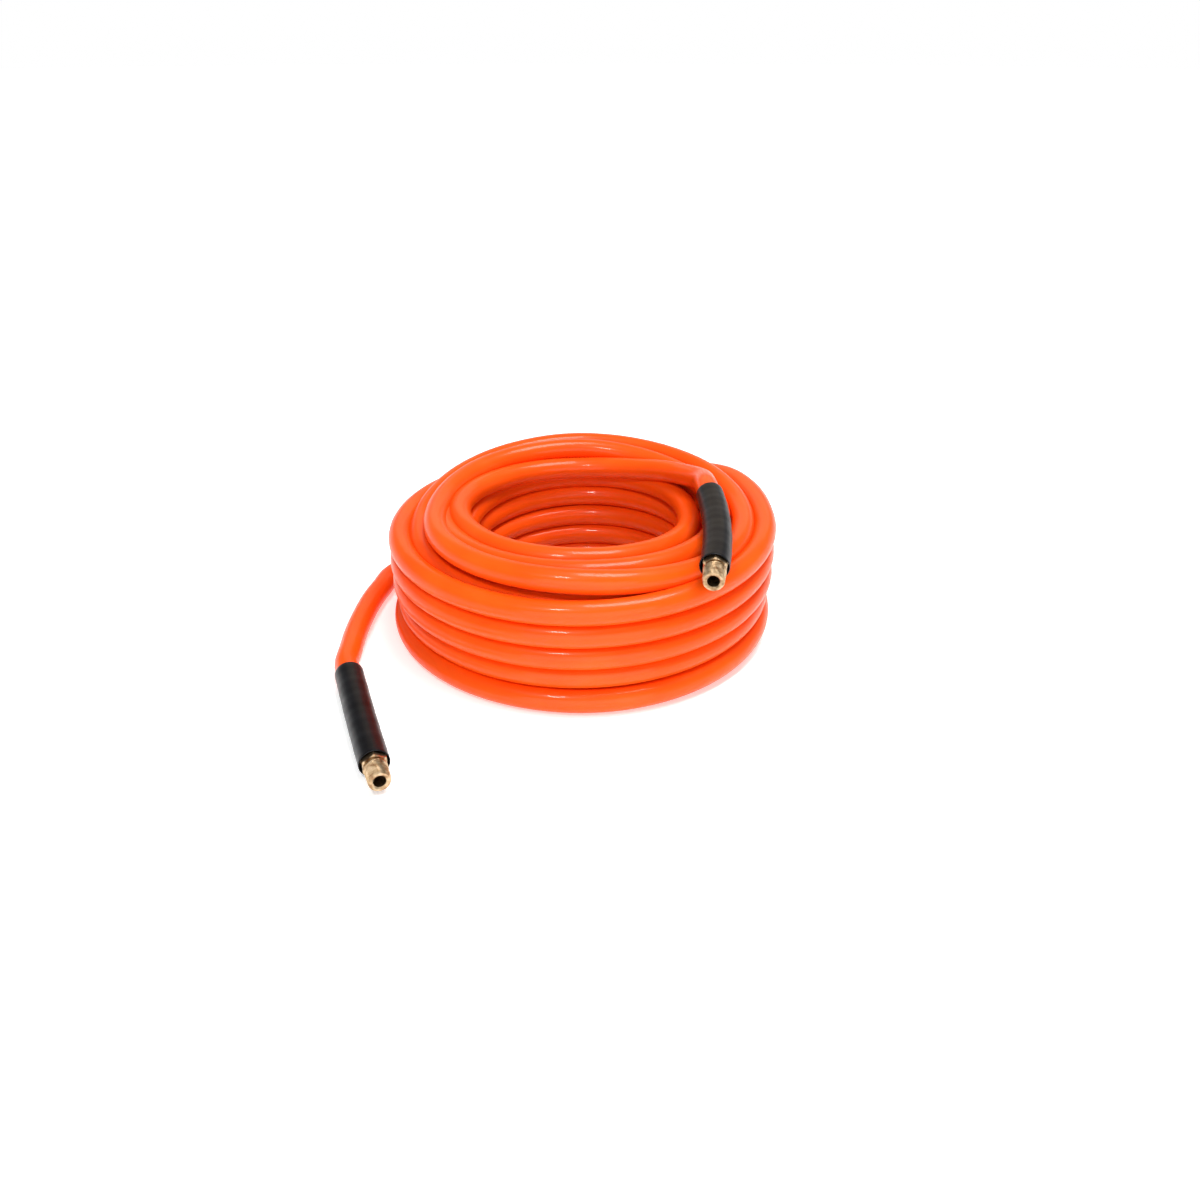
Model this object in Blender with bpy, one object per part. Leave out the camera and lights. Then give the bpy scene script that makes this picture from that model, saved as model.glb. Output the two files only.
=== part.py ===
"""Coiled air hose: a wound hose with a brass male fitting on each end.

Metres, +Z up, the coil's flat underside on Z = 0, the origin under the middle
of the whole object's box.
"""
import math

import bmesh
import bpy
from mathutils import Matrix, Vector

# Driving dimensions
HOSE_OD = 0.0159
GAP = 0.0003

COIL_X, COIL_Y = 0.01511, 0.02918
COIL_INNER = 4.65 * HOSE_OD
COIL_OUTER = 8.55 * HOSE_OD
COIL_LEDGE = 6.15 * HOSE_OD
COIL_RIM = 7.85 * HOSE_OD
LEDGE_TOP = 5.25 * HOSE_OD
CROWN_TOP = 5.55 * HOSE_OD
RIM_TOP = 5.05 * HOSE_OD
COIL_EDGE = 0.10 * HOSE_OD
COIL_SIDES = 40

SLEEVE_LENGTH = 0.098
SLEEVE_OD = 0.0188
SLEEVE_BORE = 0.0174
SLEEVE_STATIONS = 8
SLEEVE_LIP = 0.0003

# Along a fitting's axis, measured outwards from the sleeve's front mouth
THREAD_TIP = 0.0175
THREAD_ROOT = 0.0032
THREAD_LEAD_IN = 0.0008
HEX_FRONT, HEX_BACK = 0.0028, -0.0045
FERRULE_FRONT, FERRULE_BACK = -0.0049, -0.0330
FERRULE_LIP_BACK = -0.0068
LAYER_FRONT, LAYER_BACK = -0.0072, -0.0334
STEM_BACK = -0.0310
HOSE_START = -0.0344
TANGENT_AT = -0.0160

# Radii round a fitting's axis
PORT_BORE = 0.0035
PORT_CHAMFER = 0.0045
THREAD_RADIUS, THREAD_TAPER = 0.00685, 1.0 / 32.0
THREAD_PITCH, THREAD_DEPTH, THREAD_COUNT = 0.001411, 0.0008, 9
HEX_FLAT = 0.0143 / 2
STEM_NECK = 0.0052
STEM_TAIL, STEM_BARB = 0.0040, 0.0043
FERRULE_OUTER, FERRULE_INNER, FERRULE_LIP = 0.0079, 0.0074, 0.0056
LAYERS = {
    "inner_tube": (0.0046, 0.0053),
    "braid": (0.0056, 0.0060),
    "cover": (0.0063, 0.0071),
}

# Where each end lies: the sleeve's rear and front mouths, in hose diameters from
# the coil's axis, the side to which its bow turns and the bow's radius in metres
FLOOR_HEIGHT = SLEEVE_OD / 2 / HOSE_OD
ENDS = {
    "top": {"rear": (5.475, -1.187, 6.40), "front": (5.005, -7.33, 6.10), "turn": -1, "bend": 0.36},
    "loose": {
        "rear": (-9.567, -6.29, FLOOR_HEIGHT), "front": (-7.495, -12.09, FLOOR_HEIGHT),
        "turn": 1, "bend": 3.0,
    },
}

# The free stretches of hose, in hose diameters from the coil's axis
LEAD_ROUTE = [
    (5.36, 1.20, 6.27), (4.80, 2.55, 5.98), (3.95, 3.75, 5.82), (2.95, 4.60, 5.79),
]
TAIL_DOWN_ANGLE = (55.0, 128.0)
TAIL_DOWN_HEIGHT = (3.9, 0.503)
TAIL_RADIUS = 9.10
TAIL_LEAVES_AT = 150.0
HINGE_AT = (-9.20, 2.50, 0.503)
TAIL_ROUTE = [
    (-9.50, 1.30, 0.503), (-9.76, 0.00, 0.503), (-9.90, -1.50, 0.503),
    (-9.95, -3.00, 0.508), (-9.88, -4.40, 0.560),
]
SLIDE_ROOM = 0.8 * HOSE_OD
TUBE_STEP = 1.05 * HOSE_OD


def clear_scene():
    for item in list(bpy.data.objects):
        bpy.data.objects.remove(item, do_unlink=True)


def make_material(name, colour, roughness, metallic=0.0):
    material = bpy.data.materials.new(name)
    material.use_nodes = True
    shader = material.node_tree.nodes["Principled BSDF"]
    shader.inputs["Base Color"].default_value = (*colour, 1.0)
    shader.inputs["Roughness"].default_value = roughness
    shader.inputs["Metallic"].default_value = metallic
    material.diffuse_color = (*colour, 1.0)
    return material


def from_coil(x, y, z):
    """A point given in hose diameters from the coil's axis, in metres."""
    return Vector((COIL_X + x * HOSE_OD, COIL_Y + y * HOSE_OD, z * HOSE_OD))


def add_ring_solid(name, rings, material, parent):
    """A closed body through rings of points, the last ring joined to the first."""
    count = len(rings[0])
    points = [point for ring in rings for point in ring]
    faces = []
    for i in range(len(rings)):
        here, after = i * count, ((i + 1) % len(rings)) * count
        for j in range(count):
            k = (j + 1) % count
            faces.append((here + j, here + k, after + k, after + j))
    mesh = bpy.data.meshes.new(name)
    mesh.from_pydata(points, [], faces)
    solid = bmesh.new()
    solid.from_mesh(mesh)
    bmesh.ops.recalc_face_normals(solid, faces=solid.faces)
    solid.to_mesh(mesh)
    solid.free()
    mesh.shade_smooth()
    mesh.set_sharp_from_angle(angle=math.radians(35))
    return add_object(name, mesh, material, parent)


def world_place(item):
    place = Vector((0, 0, 0))
    while item:
        place += item.location
        item = item.parent
    return place


def add_object(name, data, material, parent):
    """Links an object whose data is in world coordinates, under an empty."""
    data.transform(Matrix.Translation(-world_place(parent)))
    data.materials.append(material)
    item = bpy.data.objects.new(name, data)
    bpy.context.scene.collection.objects.link(item)
    item.parent = parent
    return item


def add_empty(name, place, parent):
    empty = bpy.data.objects.new(name, None)
    bpy.context.scene.collection.objects.link(empty)
    empty.location = place - world_place(parent)
    empty.parent = parent
    return empty


def turned_rings(profile, place, sides):
    """Rings of a turned profile of (distance, radius, is_hex), placed by a matrix."""
    rings = []
    for along, radius, is_hex in profile:
        ring = []
        for i in range(sides):
            angle = 2 * math.pi * i / sides
            reach = radius
            if is_hex:
                from_flat = (angle + math.pi / 6) % (math.pi / 3) - math.pi / 6
                reach = radius / math.cos(from_flat)
            ring.append(place @ Vector((reach * math.cos(angle), reach * math.sin(angle), along)))
        rings.append(ring)
    return rings


def sleeve_arc(end):
    """A function from the distance along a sleeve's axis to a point and its heading.

    Distance 0 is the front mouth, and it grows outwards, away from the hose.
    """
    rear = from_coil(*end["rear"])
    front = from_coil(*end["front"])
    bend = end["bend"]
    chord = (front - rear).normalized()
    side = Vector((-chord.y, chord.x, 0)).normalized() * end["turn"]
    half = math.asin(SLEEVE_LENGTH / 2 / bend)
    centre = (rear + front) / 2 + side * bend * math.cos(half)

    def at(distance):
        angle = half + distance / bend
        outward = chord * math.sin(angle) - side * math.cos(angle)
        heading = chord * math.cos(angle) + side * math.sin(angle)
        return centre + outward * bend, heading

    return at, centre


def axis_matrix(point, heading):
    """A frame at a point whose own Z runs along the heading."""
    across = heading.cross(Vector((0, 0, 1))).normalized()
    above = heading.cross(across)
    turn = Matrix((across, above, heading)).transposed()
    return Matrix.Translation(point) @ turn.to_4x4()


def smooth_route(points):
    """Points evenly along a Catmull-Rom curve through a route's points."""
    padded = [2 * points[0] - points[1], *points, 2 * points[-1] - points[-2]]
    fine = []
    for i in range(1, len(padded) - 2):
        a, b, c, d = padded[i - 1:i + 3]
        for j in range(24):
            t = j / 24
            fine.append(0.5 * (2 * b + (c - a) * t + (2 * a - 5 * b + 4 * c - d) * t ** 2
                               + (3 * b - a - 3 * c + d) * t ** 3))
    fine.append(points[-1])
    travelled = [0.0]
    for before, after in zip(fine, fine[1:]):
        travelled.append(travelled[-1] + (after - before).length)
    count = max(2, round(travelled[-1] / TUBE_STEP))
    even, k = [], 0
    for i in range(count + 1):
        want = travelled[-1] * i / count
        while k < len(fine) - 2 and travelled[k + 1] < want:
            k += 1
        part = (want - travelled[k]) / (travelled[k + 1] - travelled[k])
        even.append(fine[k].lerp(fine[k + 1], part))
    return even


def add_tube(name, points, material, parent, scales=None):
    """The hose along a route: a curve with a round bevel and filled ends."""
    curve = bpy.data.curves.new(name, "CURVE")
    curve.dimensions = "3D"
    curve.bevel_depth = HOSE_OD / 2
    curve.bevel_resolution = 2
    curve.use_fill_caps = True
    spline = curve.splines.new("POLY")
    spline.points.add(len(points) - 1)
    for i, point in enumerate(points):
        spline.points[i].co = (*point, 1.0)
        spline.points[i].radius = scales[i] if scales else 1.0
    return add_object(name, curve, material, parent)


def add_coil(material, parent):
    """The wound turns as one turned ring, lower on its inner ledge and outer rim."""
    edge = COIL_EDGE
    profile = [
        (0.0, COIL_INNER + edge), (0.0, COIL_OUTER - edge), (edge, COIL_OUTER),
        (RIM_TOP - edge, COIL_OUTER), (RIM_TOP, COIL_OUTER - edge), (RIM_TOP, COIL_RIM),
        (CROWN_TOP, COIL_RIM - edge), (CROWN_TOP, COIL_LEDGE + edge), (LEDGE_TOP, COIL_LEDGE),
        (LEDGE_TOP, COIL_INNER + edge), (LEDGE_TOP - edge, COIL_INNER), (edge, COIL_INNER),
    ]
    place = Matrix.Translation((COIL_X, COIL_Y, 0))
    rings = turned_rings([(along, radius, False) for along, radius in profile], place, COIL_SIDES)
    add_ring_solid("hose_coil", rings, material, parent)


def add_sleeve(name, at, material, parent):
    """The bend restrictor: a thin bent tube, open at both mouths."""
    distances = [-SLEEVE_LENGTH * (1 - i / (SLEEVE_STATIONS - 1)) for i in range(SLEEVE_STATIONS)]
    outer, bore = SLEEVE_OD / 2, SLEEVE_BORE / 2
    wall = [(distance, outer) for distance in distances]
    wall[0] = (distances[0], outer - SLEEVE_LIP)
    wall[-1] = (distances[-1], outer - SLEEVE_LIP)
    wall.insert(1, (distances[0] + SLEEVE_LIP, outer))
    wall.insert(-1, (distances[-1] - SLEEVE_LIP, outer))
    wall += [(distance, bore) for distance in reversed(distances)]
    rings = []
    for distance, radius in wall:
        place = axis_matrix(*at(distance))
        rings += turned_rings([(0.0, radius, False)], place, 24)
    add_ring_solid(name, rings, material, parent)


def stem_profile():
    """The brass stem: barbed tail, neck, hexagon and tapered thread round its bore."""
    profile = [
        (THREAD_TIP, PORT_CHAMFER, False),
        (THREAD_TIP, THREAD_RADIUS - THREAD_DEPTH, False),
    ]
    start = THREAD_TIP - THREAD_LEAD_IN
    for i in range(THREAD_COUNT):
        along = start - i * THREAD_PITCH
        crest = THREAD_RADIUS - (along - THREAD_ROOT - THREAD_TIP / 2) * THREAD_TAPER
        profile.append((along, crest, False))
        profile.append((along - THREAD_PITCH / 2, crest - THREAD_DEPTH, False))
    profile.append((HEX_FRONT, crest - THREAD_DEPTH, False))
    profile.append((HEX_FRONT, HEX_FLAT, True))
    profile.append((HEX_BACK, HEX_FLAT, True))
    profile.append((HEX_BACK, STEM_NECK, False))
    profile.append((FERRULE_LIP_BACK, STEM_NECK, False))
    profile.append((FERRULE_LIP_BACK, STEM_TAIL, False))
    barb_step = (FERRULE_LIP_BACK - STEM_BACK) / 4
    for i in range(3):
        along = FERRULE_LIP_BACK - (i + 1) * barb_step
        profile.append((along + barb_step * 0.4, STEM_TAIL, False))
        profile.append((along + barb_step * 0.3, STEM_BARB, False))
    profile.append((STEM_BACK, STEM_TAIL - 0.0002, False))
    profile.append((STEM_BACK, PORT_BORE - 0.0002, False))
    profile.append((THREAD_TIP - (PORT_CHAMFER - PORT_BORE), PORT_BORE, False))
    return profile


def add_end(prefix, at, materials, hose_parent, sleeve_parent):
    """One finished hose end: sleeve, ferrule, stem and the hose's three layers."""
    add_sleeve(prefix + "_bend_restrictor", at, materials["vinyl"], sleeve_parent)

    point, heading = at(TANGENT_AT)
    place = axis_matrix(point - heading * TANGENT_AT, heading)

    ferrule = [
        (FERRULE_FRONT, FERRULE_LIP, False), (FERRULE_FRONT, FERRULE_OUTER - GAP, False),
        (FERRULE_FRONT - GAP, FERRULE_OUTER, False), (FERRULE_BACK + GAP, FERRULE_OUTER, False),
        (FERRULE_BACK, FERRULE_OUTER - GAP, False), (FERRULE_BACK, FERRULE_INNER, False),
        (FERRULE_LIP_BACK, FERRULE_INNER, False), (FERRULE_LIP_BACK, FERRULE_LIP, False),
    ]
    for name, profile in (("crimp_ferrule", ferrule), ("fitting_stem", stem_profile())):
        rings = turned_rings(profile, place, 24)
        add_ring_solid(f"{prefix}_{name}", rings, materials["brass"], hose_parent)

    for layer, (inner, outer) in LAYERS.items():
        profile = [
            (LAYER_FRONT, inner, False), (LAYER_FRONT, outer, False),
            (LAYER_BACK, outer, False), (LAYER_BACK, inner, False),
        ]
        rings = turned_rings(profile, place, 24)
        add_ring_solid(f"{prefix}_hose_{layer}", rings, materials[layer], hose_parent)

    steps = 7
    back = -SLEEVE_LENGTH - SLIDE_ROOM
    return [at(HOSE_START + (back - HOSE_START) * i / steps)[0] for i in range(steps + 1)]


def tail_down_route():
    """The hose from the coil's top, down its outside at the back, to the floor."""
    first, last = TAIL_DOWN_ANGLE
    high, low = TAIL_DOWN_HEIGHT
    route = []
    steps = 16
    for i in range(steps + 1):
        degrees = first + (TAIL_LEAVES_AT - first) * i / steps
        part = min(1.0, (degrees - first) / (last - first))
        ease = part * part * (3 - 2 * part)
        angle = math.radians(degrees)
        height = high + (low - high) * ease
        route.append(from_coil(TAIL_RADIUS * math.cos(angle), TAIL_RADIUS * math.sin(angle), height))
    hinge = from_coil(*HINGE_AT)
    route.append(hinge + (route[-1] - hinge).normalized() * (HOSE_OD / 2 + 2 * GAP))
    return route


def round_end(points):
    """Adds a half ball round the first point, as smaller and smaller sections."""
    first, heading = points[0], (points[1] - points[0]).normalized()
    ball, scales = [], []
    for degrees in (80, 60, 40, 20):
        angle = math.radians(degrees)
        ball.append(first - heading * (HOSE_OD / 2) * math.sin(angle))
        scales.append(math.cos(angle))
    return ball + points, scales + [1.0] * len(points)


def main():
    clear_scene()
    orange = make_material("hose_orange", (0.95, 0.15, 0.03), 0.35)
    materials = {
        "vinyl": make_material("black_vinyl", (0.015, 0.015, 0.017), 0.40),
        "brass": make_material("brass", (0.80, 0.60, 0.30), 0.28, 1.0),
        "inner_tube": make_material("inner_tube_black", (0.02, 0.02, 0.02), 0.50),
        "braid": make_material("braid_white", (0.75, 0.75, 0.72), 0.80),
        "cover": orange,
    }
    top_at, top_centre = sleeve_arc(ENDS["top"])
    loose_at, _ = sleeve_arc(ENDS["loose"])
    root = add_empty("coil_frame", Vector((0, 0, 0)), None)
    swing = add_empty("loose_end_axis", from_coil(*HINGE_AT), root)
    top_axis = add_empty("top_sleeve_axis", top_centre, root)
    loose_axis = add_empty("loose_sleeve_axis", loose_at(0.0)[0], swing)

    add_coil(orange, root)
    lead = add_end("top", top_at, materials, root, top_axis)
    lead += [from_coil(*point) for point in LEAD_ROUTE]
    add_tube("hose_lead", smooth_route(lead), orange, root)

    add_tube("hose_tail_fixed", smooth_route(tail_down_route()), orange, root)
    tail = add_end("loose", loose_at, materials, swing, loose_axis)
    free = [from_coil(*HINGE_AT)] + [from_coil(*point) for point in TAIL_ROUTE] + tail[::-1]
    points, scales = round_end(smooth_route(free))
    add_tube("hose_tail_free", points, orange, swing, scales)


main()
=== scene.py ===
"""Looks for the coiled air hose: the wound hose, its two sleeves and its brass fittings."""
import math

import bmesh
import bpy
from mathutils import Matrix, Vector


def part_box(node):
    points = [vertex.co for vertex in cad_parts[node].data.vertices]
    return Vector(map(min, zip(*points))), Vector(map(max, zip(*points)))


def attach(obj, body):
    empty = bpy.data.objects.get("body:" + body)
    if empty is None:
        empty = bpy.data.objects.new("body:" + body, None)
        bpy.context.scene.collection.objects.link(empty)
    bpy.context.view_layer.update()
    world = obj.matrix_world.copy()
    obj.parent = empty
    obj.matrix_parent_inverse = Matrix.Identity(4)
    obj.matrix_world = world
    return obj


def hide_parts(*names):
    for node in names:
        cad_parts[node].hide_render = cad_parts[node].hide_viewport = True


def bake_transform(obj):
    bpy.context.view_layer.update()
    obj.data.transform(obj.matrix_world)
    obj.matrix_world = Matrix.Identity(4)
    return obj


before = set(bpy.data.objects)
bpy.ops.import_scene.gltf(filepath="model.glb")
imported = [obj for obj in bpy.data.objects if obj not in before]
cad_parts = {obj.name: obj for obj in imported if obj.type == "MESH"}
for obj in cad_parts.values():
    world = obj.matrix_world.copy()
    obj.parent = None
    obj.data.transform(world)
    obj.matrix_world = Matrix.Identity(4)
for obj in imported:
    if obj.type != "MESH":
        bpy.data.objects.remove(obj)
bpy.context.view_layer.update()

TURN = 2 * math.pi

# Sizes in metres
HOSE_OD = 0.0159
HOSE_LENGTH = 15.24
HOSE_SIDES = 24
PATH_STEP, GRIP_STEP = 0.42 * HOSE_OD, 0.4 * HOSE_OD
BRAID_PITCH, BRAID_YARNS = 0.0014, 8
FLOOR_HEIGHT, FLOOR_RADIUS, FLOOR_SIDES = -0.0002, 12.0, 64

coil_low, coil_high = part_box("hose_coil")
COIL_X = (coil_low[0] + coil_high[0]) / 2
COIL_Y = (coil_low[1] + coil_high[1]) / 2

# The sleeves and what lies along each fitting's axis, as in the CAD model
SLEEVE_LENGTH, SLEEVE_OD, SLEEVE_BORE = 0.098, 0.0188, 0.0174
SLIDE_ROOM = 0.8 * HOSE_OD
TANGENT_AT, HOSE_START = -0.0160, -0.0344
THREAD_TIP, THREAD_END = 0.0175, 0.0048
HEX_FRONT, HEX_BACK = 0.0028, -0.0045
STEM_NECK_BACK, STEM_BACK = -0.0068, -0.0310
PORT_BORE, PORT_CHAMFER, CHAMFER_DEPTH = 0.0038, 0.0047, 0.0006
THREAD_RADIUS, THREAD_TAPER = 0.00685, 1.0 / 32.0
THREAD_PITCH, THREAD_DEPTH = 0.001411, 0.00085
CREST_FLAT, FLANK = 0.10, 0.84
HEX_FLAT, HEX_CHAMFER, HEX_SLOPE = 0.0143 / 2, 0.00015, 1.7
TAIL_BORE, TIP_RADIUS = 0.0033, 0.00605
THREAD_MIDDLE = 0.0032 + THREAD_TIP / 2
STEM_RELIEF, STEM_NECK, STEM_TAIL, STEM_BARB = 0.0060, 0.0052, 0.0040, 0.0043
STEM_SIDES = 96
SLEEVE_SIDES, SLEEVE_STATIONS, SLEEVE_INSET, LIP_FADE = 48, 48, 0.00010, 0.006
HOSE_SEAM, SEAM_GAP = -SLEEVE_LENGTH + 0.018, 0.0003

# Where each sleeve's axis starts and ends, in hose diameters from the coil's axis, which way it
# bends and its bend's radius in metres
ON_SLEEVE = SLEEVE_OD / 2 / HOSE_OD
ENDS = {
    "top": {"rear": (5.475, -1.187, 6.40), "front": (5.005, -7.33, 6.10), "turn": -1, "bend": 0.36},
    "loose": {
        "rear": (-9.567, -6.29, ON_SLEEVE), "front": (-7.495, -12.09, ON_SLEEVE),
        "turn": 1, "bend": 3.0,
    },
}

# The hose's free routes, in hose diameters from the coil's axis
ON_FLOOR = 0.503
LEAD_ROUTE = [(5.36, 1.05, 6.14)]
TAIL_ROUTE = [
    (-9.20, 2.50, ON_FLOOR), (-9.50, 1.30, ON_FLOOR), (-9.76, 0.00, ON_FLOOR),
    (-9.90, -1.50, ON_FLOOR), (-9.95, -3.00, 0.508), (-9.88, -4.40, 0.560),
]

# The winding's visible turns, from the top end out to the tail. Each key is (turns counted
# from the right, radius, height), the last two in hose diameters.
TOP_TURNS = [
    (0.078, 5.28, 5.78), (0.12, 5.15, 5.54), (0.17, 5.08, 5.25), (0.25, 5.12, 5.02),
    (0.37, 5.28, 5.06), (0.50, 5.42, 5.20), (0.62, 5.25, 5.22), (0.75, 5.00, 5.20),
    (0.88, 4.80, 4.95), (1.00, 4.78, 4.66), (1.10, 5.15, 4.62), (1.18, 5.52, 4.46),
    (1.25, 5.75, 4.30), (1.37, 5.62, 4.22), (1.50, 5.20, 4.10), (1.75, 5.15, 3.85),
    (2.00, 5.25, 3.60), (2.25, 5.60, 3.38), (2.50, 5.30, 3.12), (2.75, 5.20, 2.88),
    (3.00, 5.25, 2.64), (3.25, 5.35, 2.40), (3.50, 5.20, 2.15),
]
MIDDLE_TURNS = [
    (10.75, 6.10, 5.20), (10.86, 6.10, 5.12), (10.95, 6.06, 5.08), (11.00, 6.05, 5.15),
    (11.10, 6.04, 5.28), (11.18, 6.02, 5.50), (11.25, 6.00, 5.67), (11.37, 6.12, 5.56),
    (11.50, 6.32, 5.35),
    (11.62, 7.00, 5.45), (11.75, 7.40, 5.50), (11.83, 7.33, 5.20), (11.90, 7.20, 4.97),
    (12.00, 7.10, 5.00), (12.12, 7.10, 5.35), (12.25, 7.10, 5.57), (12.33, 7.10, 5.40),
    (12.40, 7.12, 5.08), (12.46, 7.15, 4.70), (12.50, 7.15, 4.48), (12.62, 7.20, 4.32),
    (12.75, 7.20, 4.36),
]
OUTER_TURNS = [
    (17.40, 8.02, ON_FLOOR), (17.75, 8.06, ON_FLOOR), (18.00, 8.04, 0.80), (18.25, 7.95, 1.10),
    (18.50, 7.86, 1.35), (18.75, 7.78, 1.50), (19.00, 7.92, 1.80), (19.25, 8.00, 2.10),
    (19.50, 8.02, 2.35), (19.75, 8.00, 2.50), (20.00, 8.04, 2.80), (20.25, 8.05, 3.10),
    (20.50, 8.06, 3.35), (20.75, 8.05, 3.50), (21.00, 8.05, 3.80), (21.25, 8.06, 4.10),
    (21.50, 8.06, 4.35), (21.75, 8.06, 4.50), (22.00, 8.08, 4.80),
]
LEAVING_TURNS = [(22.055, 8.35, 4.78), (22.10, 8.72, 4.58), (22.153, 9.10, 3.90)]
TAIL_DOWN = (22.153, 22.355, 3.90, ON_FLOOR)
TAIL_LEAVES, TAIL_RADIUS, TAIL_STEPS = 22.417, 9.10, 6
WINDING_STEPS = 60


def column(first, last, radius, low, high, step=0.5):
    """Keys for a hidden column of turns that climbs or sinks evenly."""
    count = max(2, round((last - first) / step))
    keys = []
    for i in range(count + 1):
        part = i / count
        keys.append((first + (last - first) * part, radius, low + (high - low) * part))
    return keys


def winding_keys():
    """Every key of the winding, with the hidden columns filled in."""
    keys = list(TOP_TURNS)
    keys += column(3.75, 5.25, 5.22, 1.90, ON_FLOOR)
    keys += column(5.60, 10.35, 6.12, ON_FLOOR, 4.85)
    keys += MIDDLE_TURNS
    keys += column(13.10, 16.90, 7.10, 4.20, ON_FLOOR)
    keys += OUTER_TURNS + LEAVING_TURNS
    first, last, high, low = TAIL_DOWN
    for i in range(1, TAIL_STEPS + 1):
        part = i / TAIL_STEPS
        ease = part * part * (3 - 2 * part)
        keys.append((first + (last - first) * part, TAIL_RADIUS, high + (low - high) * ease))
    keys.append((TAIL_LEAVES, TAIL_RADIUS, low))
    return keys


def follow(keys, turn, which):
    """A smooth value between keys, with no overshoot between equal ones."""
    k = 0
    while k < len(keys) - 2 and keys[k + 1][0] < turn:
        k += 1
    here, after = keys[k], keys[k + 1]
    before, beyond = keys[max(k - 1, 0)], keys[min(k + 2, len(keys) - 1)]
    span = after[0] - here[0]
    part = (turn - here[0]) / span
    rise = after[which] - here[which]
    slope = rise / span

    def tangent(a, b):
        if b[0] == a[0]:
            return slope
        return (b[which] - a[which]) / (b[0] - a[0])

    start = tangent(before, after) * span
    end = tangent(here, beyond) * span
    square, cube = part * part, part ** 3
    return (here[which] * (2 * cube - 3 * square + 1) + start * (cube - 2 * square + part)
            + after[which] * (3 * square - 2 * cube) + end * (cube - square))


def from_coil(x, y, z):
    """A point given in hose diameters from the coil's axis and the floor."""
    return Vector((COIL_X + x * HOSE_OD, COIL_Y + y * HOSE_OD, z * HOSE_OD))


def sleeve_arc(end):
    """A function from the distance along a sleeve's axis to a point and its heading."""
    rear = from_coil(*end["rear"])
    front = from_coil(*end["front"])
    bend = end["bend"]
    chord = (front - rear).normalized()
    side = Vector((-chord.y, chord.x, 0)).normalized() * end["turn"]
    half = math.asin(SLEEVE_LENGTH / 2 / bend)
    centre = (rear + front) / 2 + side * bend * math.cos(half)

    def at(distance):
        angle = half + distance / bend
        outward = chord * math.sin(angle) - side * math.cos(angle)
        heading = chord * math.cos(angle) + side * math.sin(angle)
        return centre + outward * bend, heading

    return at


def axis_matrix(point, heading):
    """A placement at a point, with its z axis along the heading."""
    across = heading.cross(Vector((0, 0, 1))).normalized()
    above = heading.cross(across)
    turn = Matrix((across, above, heading)).transposed()
    return Matrix.Translation(point) @ turn.to_4x4()


def even_route(points, step):
    """Points evenly along a Catmull-Rom curve through a route's points."""
    padded = [2 * points[0] - points[1], *points, 2 * points[-1] - points[-2]]
    fine = []
    for i in range(1, len(padded) - 2):
        a, b, c, d = padded[i - 1:i + 3]
        cuts = max(2, math.ceil((c - b).length / (0.4 * step)))
        for j in range(cuts):
            t = j / cuts
            fine.append(0.5 * (2 * b + (c - a) * t + (2 * a - 5 * b + 4 * c - d) * t ** 2
                               + (3 * b - a - 3 * c + d) * t ** 3))
    fine.append(points[-1])
    travelled = [0.0]
    for before, after in zip(fine, fine[1:]):
        travelled.append(travelled[-1] + (after - before).length)
    count = max(2, round(travelled[-1] / step))
    even, k = [], 0
    for i in range(count + 1):
        want = travelled[-1] * i / count
        while k < len(fine) - 2 and travelled[k + 1] < want:
            k += 1
        part = (want - travelled[k]) / (travelled[k + 1] - travelled[k])
        even.append(fine[k].lerp(fine[k + 1], part))
    return even


def link(name, mesh, material, smooth_angle=None):
    """A linked, smooth-shaded object with one material."""
    mesh.materials.append(material)
    mesh.shade_smooth()
    if smooth_angle:
        mesh.set_sharp_from_angle(angle=math.radians(smooth_angle))
    item = bpy.data.objects.new(name, mesh)
    bpy.context.scene.collection.objects.link(item)
    return item


def face_outward(mesh):
    solid = bmesh.new()
    solid.from_mesh(mesh)
    bmesh.ops.recalc_face_normals(solid, faces=solid.faces)
    solid.to_mesh(mesh)
    solid.free()


def hose_mesh(name, path, start=0.0):
    """A round tube along a path, with a map of length along it and angle round it."""
    sides = HOSE_SIDES
    tangents = []
    for i in range(len(path)):
        tangents.append((path[min(i + 1, len(path) - 1)] - path[max(i - 1, 0)]).normalized())
    normal = tangents[0].cross(Vector((0, 0, 1))).normalized()
    points, lengths, travelled = [], [], start
    for i, (centre, tangent) in enumerate(zip(path, tangents)):
        if i:
            travelled += (centre - path[i - 1]).length
        normal = (normal - tangent * normal.dot(tangent)).normalized()
        across = tangent.cross(normal)
        lengths.append(travelled)
        for j in range(sides):
            angle = TURN * j / sides
            points.append(centre + (normal * math.cos(angle) + across * math.sin(angle)) * HOSE_OD / 2)
    faces = []
    for i in range(len(path) - 1):
        for j in range(sides):
            k = (j + 1) % sides
            faces.append((i * sides + j, i * sides + k, (i + 1) * sides + k, (i + 1) * sides + j))
    faces.append(tuple(range(sides))[::-1])
    last = (len(path) - 1) * sides
    faces.append(tuple(range(last, last + sides)))
    mesh = bpy.data.meshes.new(name)
    mesh.from_pydata(points, [], faces)
    layer = mesh.uv_layers.new(name="hose_map")
    for face in mesh.polygons:
        corners = list(face.loop_indices)
        if len(corners) != 4:
            continue
        i, j = divmod(face.index, sides)
        spots = ((i, j), (i, j + 1), (i + 1, j + 1), (i + 1, j))
        for corner, (row, column_at) in zip(corners, spots):
            layer.data[corner].uv = (lengths[row], column_at / sides)
    face_outward(mesh)
    return mesh


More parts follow.
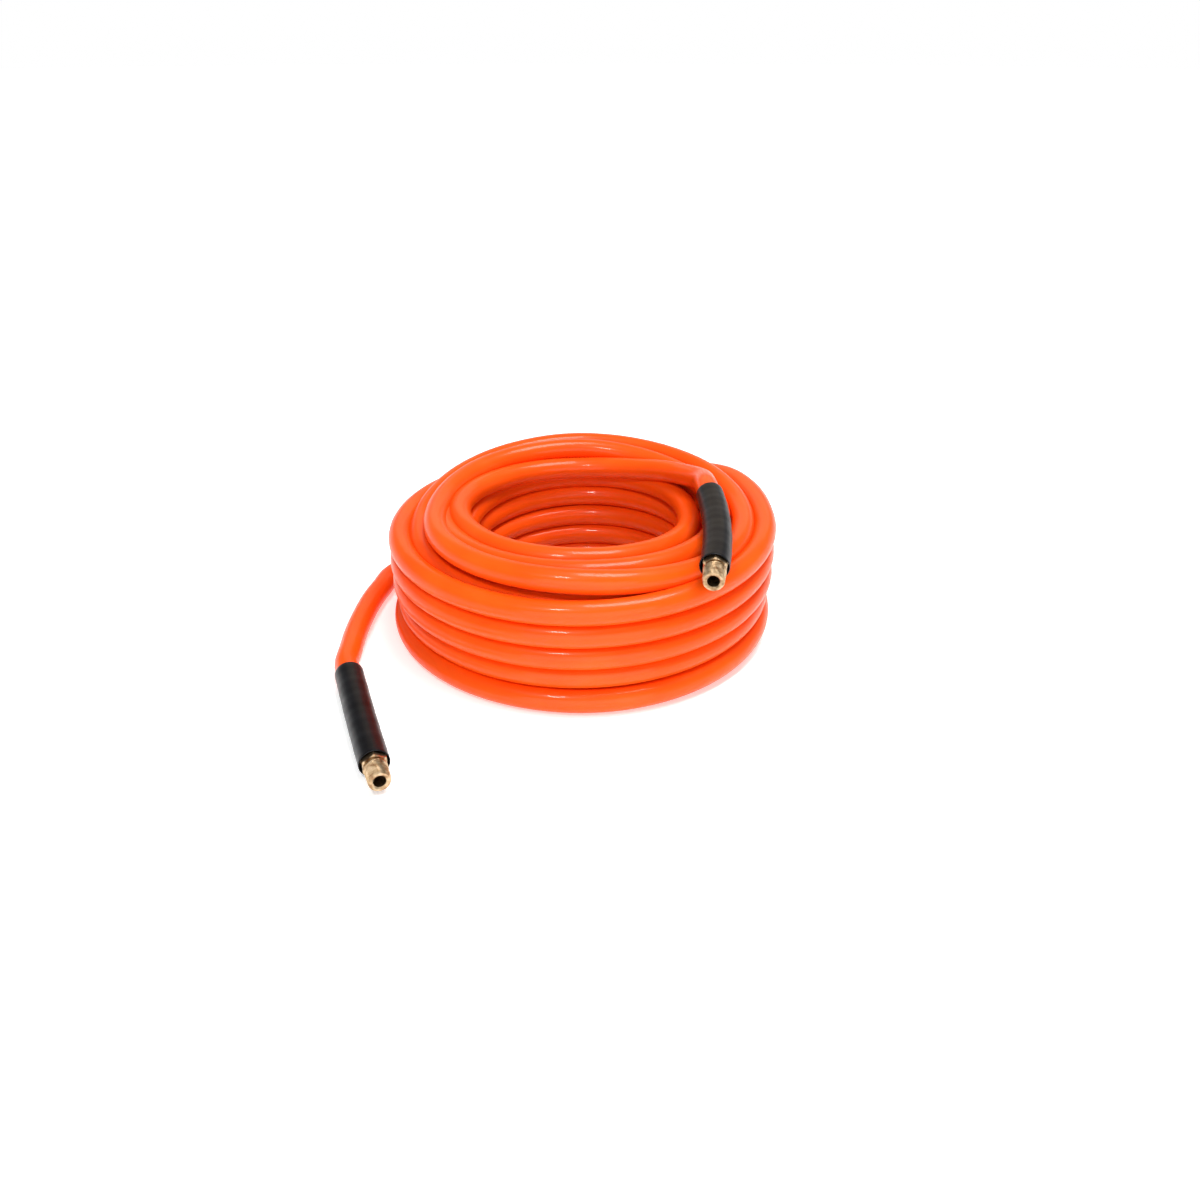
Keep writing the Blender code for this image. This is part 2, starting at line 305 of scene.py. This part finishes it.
def hose_path():
    """The hose's centreline from the top fitting, through the coil, to inside the loose sleeve."""
    top, loose = sleeve_arc(ENDS["top"]), sleeve_arc(ENDS["loose"])
    back = -SLEEVE_LENGTH - SLIDE_ROOM
    route = [top(HOSE_START + (back - HOSE_START) * i / 7)[0] for i in range(8)]
    route += [from_coil(*point) for point in LEAD_ROUTE]
    keys = winding_keys()
    turn, last = keys[0][0], keys[-1][0]
    steps = round((last - turn) * WINDING_STEPS)
    for i in range(steps + 1):
        at = turn + (last - turn) * i / steps
        radius, height = follow(keys, at, 1), max(ON_FLOOR, follow(keys, at, 2))
        route.append(from_coil(radius * math.cos(TURN * at), radius * math.sin(TURN * at), height))
    route += [from_coil(*point) for point in TAIL_ROUTE]
    route += [loose(back)[0], loose(-SLEEVE_LENGTH)[0], loose(HOSE_SEAM)[0]]
    return even_route(route, PATH_STEP)


def shader_of(name, colour, roughness, metallic=0.0):
    material = bpy.data.materials.new(name)
    material.use_nodes = True
    tree = material.node_tree
    shader = tree.nodes["Principled BSDF"]
    shader.inputs["Base Color"].default_value = (*colour, 1.0)
    shader.inputs["Roughness"].default_value = roughness
    shader.inputs["Metallic"].default_value = metallic
    return material, tree, shader


def add(tree, kind, **values):
    """A shader node with its sockets set by name, where a value may be another node's output."""
    node = tree.nodes.new(kind)
    for name, value in values.items():
        socket = node.inputs[name.replace("_", " ")]
        if isinstance(value, bpy.types.NodeSocket):
            tree.links.new(value, socket)
        else:
            socket.default_value = value
    return node


def object_place(tree):
    return tree.nodes.new("ShaderNodeTexCoord").outputs["Object"]


def arithmetic(tree, operation, first, second=0.0):
    node = tree.nodes.new("ShaderNodeMath")
    node.operation = operation
    for socket, value in zip(node.inputs, (first, second)):
        if isinstance(value, bpy.types.NodeSocket):
            tree.links.new(value, socket)
        else:
            socket.default_value = value
    return node.outputs[0]


def ramp(tree, factor, stops):
    """The colour a factor gives between stops, each a place and a colour."""
    node = tree.nodes.new("ShaderNodeValToRGB")
    tree.links.new(factor, node.inputs[0])
    for element, (place, colour) in zip(node.color_ramp.elements, stops[:2]):
        element.position = place
        element.color = (*colour, 1.0)
    for place, colour in stops[2:]:
        node.color_ramp.elements.new(place).color = (*colour, 1.0)
    return node.outputs["Color"]


def spread_roughness(tree, shader, factor, low, high):
    node = add(tree, "ShaderNodeMapRange", Value=factor, To_Min=low, To_Max=high)
    tree.links.new(node.outputs["Result"], shader.inputs["Roughness"])


def bump(tree, shader, height, strength, distance):
    node = add(tree, "ShaderNodeBump", Height=height, Strength=strength, Distance=distance)
    tree.links.new(node.outputs["Normal"], shader.inputs["Normal"])


def make_orange():
    """Extruded orange polymer with faint drawing lines and the braid printed through."""
    material, tree, shader = shader_of("hose_orange", (0.95, 0.10, 0.008), 0.34)
    shader.inputs["Specular IOR Level"].default_value = 0.12
    shader.inputs["Coat Weight"].default_value = 0.24
    shader.inputs["Coat Roughness"].default_value = 0.09
    place = object_place(tree)
    cloud = add(tree, "ShaderNodeTexNoise", Vector=place, Scale=26.0, Detail=3.0)
    colour = ramp(tree, cloud.outputs["Fac"], [
        (0.30, (0.92, 0.080, 0.003)), (0.55, (0.95, 0.091, 0.004)), (0.75, (0.96, 0.104, 0.007))])
    tree.links.new(colour, shader.inputs["Base Color"])
    spread_roughness(tree, shader, cloud.outputs["Fac"], 0.30, 0.42)

    mapped = tree.nodes.new("ShaderNodeUVMap")
    mapped.uv_map = "hose_map"
    split = add(tree, "ShaderNodeSeparateXYZ", Vector=mapped.outputs["UV"])
    along = arithmetic(tree, "MULTIPLY", split.outputs["X"], TURN / BRAID_PITCH)
    around = arithmetic(tree, "MULTIPLY", split.outputs["Y"], TURN * BRAID_YARNS)
    one_way = arithmetic(tree, "SINE", arithmetic(tree, "ADD", along, around))
    other_way = arithmetic(tree, "SINE", arithmetic(tree, "SUBTRACT", along, around))
    braid = arithmetic(tree, "MULTIPLY", one_way, other_way)
    drawn = add(tree, "ShaderNodeMapping", Vector=mapped.outputs["UV"], Scale=(3.0, 90.0, 1.0))
    lines = add(tree, "ShaderNodeTexNoise", Vector=drawn.outputs["Vector"], Scale=1.0, Detail=2.0)
    height = arithmetic(tree, "ADD", arithmetic(tree, "MULTIPLY", braid, 0.5), lines.outputs["Fac"])
    bump(tree, shader, height, 0.35, 0.00006)
    return material


def make_vinyl():
    """Flexible black vinyl with a slightly uneven sheen."""
    material, tree, shader = shader_of("black_vinyl", (0.010, 0.010, 0.011), 0.38)
    shader.inputs["Specular IOR Level"].default_value = 0.22
    place = object_place(tree)
    cloud = add(tree, "ShaderNodeTexNoise", Vector=place, Scale=90.0, Detail=4.0)
    colour = ramp(tree, cloud.outputs["Fac"], [
        (0.3, (0.003, 0.003, 0.004)), (0.7, (0.007, 0.007, 0.009))])
    tree.links.new(colour, shader.inputs["Base Color"])
    spread_roughness(tree, shader, cloud.outputs["Fac"], 0.30, 0.46)
    grain = add(tree, "ShaderNodeTexNoise", Vector=place, Scale=700.0, Detail=3.0)
    bump(tree, shader, grain.outputs["Fac"], 0.35, 0.00012)
    return material


def make_brass():
    """Turned brass with dulled patches and fine tool marks."""
    material, tree, shader = shader_of("brass", (0.80, 0.64, 0.42), 0.26, 1.0)
    place = object_place(tree)
    cloud = add(tree, "ShaderNodeTexNoise", Vector=place, Scale=260.0, Detail=4.0)
    colour = ramp(tree, cloud.outputs["Fac"], [
        (0.34, (0.26, 0.14, 0.07)), (0.5, (0.50, 0.35, 0.20)), (0.68, (0.66, 0.50, 0.33))])
    tree.links.new(colour, shader.inputs["Base Color"])
    spread_roughness(tree, shader, cloud.outputs["Fac"], 0.45, 0.28)
    marks = add(tree, "ShaderNodeTexNoise", Vector=place, Scale=1500.0, Detail=2.0)
    bump(tree, shader, marks.outputs["Fac"], 0.25, 0.00005)
    return material


def make_rubber():
    material, tree, shader = shader_of("inner_tube_black", (0.016, 0.016, 0.016), 0.6)
    place = object_place(tree)
    grain = add(tree, "ShaderNodeTexNoise", Vector=place, Scale=900.0, Detail=3.0)
    spread_roughness(tree, shader, grain.outputs["Fac"], 0.50, 0.70)
    bump(tree, shader, grain.outputs["Fac"], 0.3, 0.0001)
    return material


def make_braid():
    """White polyester yarn, woven."""
    material, tree, shader = shader_of("braid_white", (0.74, 0.74, 0.70), 0.8)
    place = object_place(tree)
    yarn = add(tree, "ShaderNodeTexWave", Vector=place, Scale=420.0, Distortion=1.5)
    colour = ramp(tree, yarn.outputs["Fac"], [(0.0, (0.50, 0.50, 0.46)), (0.6, (0.80, 0.80, 0.76))])
    tree.links.new(colour, shader.inputs["Base Color"])
    bump(tree, shader, yarn.outputs["Fac"], 0.5, 0.0002)
    return material


def area_light(name, place, target, size, power, colour=(1, 1, 1)):
    data = bpy.data.lights.new(name, "AREA")
    data.shape = "RECTANGLE"
    data.size, data.size_y = size
    data.energy = power
    data.color = colour
    lamp = bpy.data.objects.new(name, data)
    lamp.location = place
    lamp.rotation_euler = (Vector(target) - Vector(place)).to_track_quat("-Z", "Y").to_euler()
    bpy.context.scene.collection.objects.link(lamp)


def make_camera():
    """The photo's view: 27 degrees above the floor, with the coil left of and above the middle."""
    elevation, distance = math.radians(27.0), 47.0 * HOSE_OD
    data = bpy.data.cameras.new("camera")
    data.sensor_width = 36.0
    data.lens = 31.02
    data.shift_x, data.shift_y = 0.015, -0.04
    data.clip_start = 0.01
    camera = bpy.data.objects.new("camera", data)
    target = from_coil(0, 0, 3)
    camera.location = target + Vector((0, -math.cos(elevation), math.sin(elevation))) * distance
    camera.rotation_euler = (math.pi / 2 - elevation, 0, 0)
    bpy.context.scene.collection.objects.link(camera)
    bpy.context.scene.camera = camera


def make_floor():
    """A white floor that glows outside the coil, with painted shade inside it: no glow there and a
    darker grey colour.
    """
    material, tree, shader = shader_of("studio_floor", (0.92, 0.92, 0.92), 0.7)
    shader.inputs["Emission Color"].default_value = (1.0, 1.0, 1.0, 1.0)
    place = object_place(tree)
    cloud = add(tree, "ShaderNodeTexNoise", Vector=place, Scale=3.0)
    spread_roughness(tree, shader, cloud.outputs["Fac"], 0.65, 0.75)
    from_axis = add(tree, "ShaderNodeVectorMath", Vector=place)
    from_axis.operation = "DISTANCE"
    from_axis.inputs[1].default_value = (COIL_X, COIL_Y, 0.0)
    outward = add(tree, "ShaderNodeMapRange", Value=from_axis.outputs["Value"],
                  From_Min=0.0, From_Max=3.0)
    # Painted glow: the floor gives off light that rises outward from the coil, with none inside the
    # coil as painted shade.
    glow = ramp(tree, outward.outputs["Result"], [
        (0.030, (0.0, 0.0, 0.0)), (0.045, (0.45, 0.45, 0.45)), (0.25, (0.50, 0.50, 0.50)),
        (1.0, (0.95, 0.95, 0.95))])
    tree.links.new(glow, shader.inputs["Emission Strength"])
    shade = add(tree, "ShaderNodeMapRange", Value=from_axis.outputs["Value"],
                From_Min=0.05, From_Max=0.12)
    # Painted shade: the floor's colour turns grey inside the coil, darker towards the coil's axis.
    colour = ramp(tree, shade.outputs["Result"], [
        (0.0, (0.50, 0.50, 0.50)), (1.0, (0.92, 0.92, 0.92))])
    tree.links.new(colour, shader.inputs["Base Color"])
    mesh = bpy.data.meshes.new("floor")
    rim = []
    for i in range(FLOOR_SIDES):
        angle = TURN * i / FLOOR_SIDES
        rim.append((FLOOR_RADIUS * math.cos(angle), FLOOR_RADIUS * math.sin(angle), FLOOR_HEIGHT))
    mesh.from_pydata(rim, [], [tuple(range(FLOOR_SIDES))])
    link("floor", mesh, material)


def make_light():
    """A sky that is white at the horizon and dim above, and four soft lights."""
    world = bpy.data.worlds.new("studio")
    world.use_nodes = True
    sky = world.node_tree
    background = sky.nodes["Background"]
    background.inputs["Color"].default_value = (1.0, 1.0, 1.0, 1.0)
    direction = sky.nodes.new("ShaderNodeTexCoord").outputs["Generated"]
    height = add(sky, "ShaderNodeSeparateXYZ", Vector=direction).outputs["Z"]
    dim = add(sky, "ShaderNodeMapRange", Value=height, From_Min=0.05, From_Max=0.20,
              To_Min=1.0, To_Max=0.17)
    sky.links.new(dim.outputs["Result"], background.inputs["Strength"])
    bpy.context.scene.world = world
    bpy.context.scene.view_settings.view_transform = "Standard"
    centre = (COIL_X, COIL_Y, 0.05)
    area_light("streak_box", (-0.20, -0.62, 0.98), centre, (0.15, 0.13), 4.2)
    area_light("front_fill", (0.15, -2.5, 0.75), centre, (3.6, 1.4), 30.0)
    area_light("top_box", (0.40, 0.05, 1.80), centre, (0.80, 0.80), 30.0)
    area_light("back_box", (0.10, 2.30, 1.20), centre, (2.8, 0.7), 7.0, (1.0, 0.80, 0.58))


def ring_mesh(name, rings):
    """A closed body through rings of points, the last ring joined to the first."""
    count = len(rings[0])
    points = [point for ring in rings for point in ring]
    faces = []
    for i in range(len(rings)):
        here, after = i * count, ((i + 1) % len(rings)) * count
        for j in range(count):
            k = (j + 1) % count
            faces.append((here + j, here + k, after + k, after + j))
    mesh = bpy.data.meshes.new(name)
    mesh.from_pydata(points, [], faces)
    face_outward(mesh)
    return mesh


def ring(place, along, reach, sides):
    """A ring of points round a fitting's axis; reach is a radius or a function of the angle."""
    points = []
    for i in range(sides):
        angle = TURN * i / sides
        radius = reach(angle) if callable(reach) else reach
        points.append(place @ Vector((radius * math.cos(angle), radius * math.sin(angle), along)))
    return points


def sleeve_mesh(name, at):
    """A soft bent tube with rounded lips and slightly uneven walls."""
    outer, bore = SLEEVE_OD / 2, SLEEVE_BORE / 2
    wall = outer - bore
    profile = []
    for i in range(7):
        angle = math.pi * i / 6
        profile.append((-wall / 2 * math.sin(angle), bore + wall / 2 * (1 - math.cos(angle))))
    rear_lip = [(-SLEEVE_LENGTH + wall / 2 + along, radius) for along, radius in profile]
    front_lip = [(-wall / 2 - along, radius) for along, radius in reversed(profile)]
    first, last = rear_lip[-1][0], front_lip[0][0]
    skin = [(first + (last - first) * i / SLEEVE_STATIONS, outer) for i in range(1, SLEEVE_STATIONS)]
    lining = [(along, bore) for along, radius in reversed(skin)]
    rings = []
    for along, radius in rear_lip + skin + front_lip + lining:
        swell = 0.00006 * math.sin(along * 310.0) + 0.00004 * math.sin(along * 730.0 + 1.0)
        edge = min(1.0, -along / LIP_FADE, (along + SLEEVE_LENGTH) / LIP_FADE)
        place = axis_matrix(*at(along))
        rings.append(ring(place, 0.0, radius - SLEEVE_INSET + swell * edge, SLEEVE_SIDES))
    return ring_mesh(name, rings)


def hexagon(flat):
    """A hexagon's radius at any angle, from the distance of its flats."""
    def reach(angle):
        from_flat = (angle + math.pi / 6) % (math.pi / 3) - math.pi / 6
        return flat / math.cos(from_flat)
    return reach


def stem_mesh(name, place):
    """The brass stem: barbed tail, neck, hexagon with turned corners and a real helical thread."""
    rings = []

    def lay(along, reach):
        rings.append(ring(place, along, reach, STEM_SIDES))

    for along, radius in ((STEM_BACK, TAIL_BORE), (HEX_BACK, TAIL_BORE), (HEX_FRONT, PORT_BORE),
                          (THREAD_TIP - CHAMFER_DEPTH, PORT_BORE), (THREAD_TIP, PORT_CHAMFER)):
        lay(along, radius)

    def thread(along):
        crest = THREAD_RADIUS - (along - THREAD_MIDDLE) * THREAD_TAPER
        lead_in = TIP_RADIUS + (THREAD_TIP - along) * 0.9
        run_out = min(1.0, (along - THREAD_END) / THREAD_PITCH)

        def reach(angle):
            phase = (along / THREAD_PITCH - angle / TURN) % 1.0
            cut = max(0.0, min(1.0, (1.0 - abs(2.0 * phase - 1.0) - CREST_FLAT) / FLANK))
            return min(crest - THREAD_DEPTH * cut * run_out, lead_in)
        return reach

    lay(THREAD_TIP, TIP_RADIUS)
    cuts = math.ceil((THREAD_TIP - THREAD_END) / THREAD_PITCH * 8)
    for i in range(1, cuts + 1):
        along = THREAD_TIP + (THREAD_END - THREAD_TIP) * i / cuts
        lay(along, thread(along))
    lay(THREAD_END - 0.0004, STEM_RELIEF)
    lay(HEX_FRONT, STEM_RELIEF)
    corner = hexagon(HEX_FLAT)
    thick = HEX_FRONT - HEX_BACK
    for i in range(13):
        depth = thick * i / 12
        cone = HEX_FLAT - HEX_CHAMFER + HEX_SLOPE * min(depth, thick - depth)
        lay(HEX_FRONT - depth, lambda angle, cone=cone: min(corner(angle), cone))
    lay(HEX_BACK, STEM_NECK)
    lay(STEM_NECK_BACK, STEM_NECK)
    lay(STEM_NECK_BACK, STEM_TAIL)
    barb_step = (STEM_NECK_BACK - STEM_BACK) / 4
    for i in range(3):
        along = STEM_NECK_BACK - (i + 1) * barb_step
        lay(along + barb_step * 0.4, STEM_TAIL)
        lay(along + barb_step * 0.3, STEM_BARB)
    lay(STEM_BACK, STEM_TAIL - 0.0002)
    return ring_mesh(name, rings)


def make_end(prefix, body, sleeve_body):
    """One end's sleeve and stem, in place of their plain CAD nodes."""
    at = sleeve_arc(ENDS[prefix])
    sleeve = link(prefix + "_sleeve", sleeve_mesh(prefix + "_sleeve", at), vinyl, 50)
    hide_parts(prefix + "_bend_restrictor")
    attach(sleeve, sleeve_body)

    point, heading = at(TANGENT_AT)
    place = axis_matrix(point - heading * TANGENT_AT, heading)
    stem = link(prefix + "_stem", stem_mesh(prefix + "_stem", place), brass, 32)
    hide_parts(prefix + "_fitting_stem")
    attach(stem, body)
    return sleeve, stem


def finish_cad_nodes():
    """Materials for the CAD nodes that stay: ferrules and the hose's layers."""
    looks = {"ferrule": brass, "inner_tube": rubber, "braid": braid, "hose_cover": orange}
    for name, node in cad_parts.items():
        for word, material in looks.items():
            if word in name:
                node.data.materials.clear()
                node.data.materials.append(material)


orange, vinyl, brass = make_orange(), make_vinyl(), make_brass()
rubber, braid = make_rubber(), make_braid()
make_camera()
make_floor()
make_light()

path = hose_path()
hose = link("air_hose", hose_mesh("air_hose", path), orange)
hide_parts("hose_coil", "hose_lead", "hose_tail_fixed", "hose_tail_free")
# Only the tail lies past the coil's outside in this direction, so no turn of the coil moves
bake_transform(hose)

loose = sleeve_arc(ENDS["loose"])
grip_start, grip_length = HOSE_SEAM + SEAM_GAP, HOSE_START - HOSE_SEAM
grip_path = even_route([loose(grip_start + grip_length * i / 6)[0] for i in range(7)], GRIP_STEP)
grip = link("loose_hose_grip", hose_mesh("loose_hose_grip", grip_path, HOSE_LENGTH), orange)
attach(grip, "loose_end")

make_end("top", "coil", "top_sleeve")
loose_sleeve, loose_stem = make_end("loose", "loose_end", "loose_sleeve")
finish_cad_nodes()
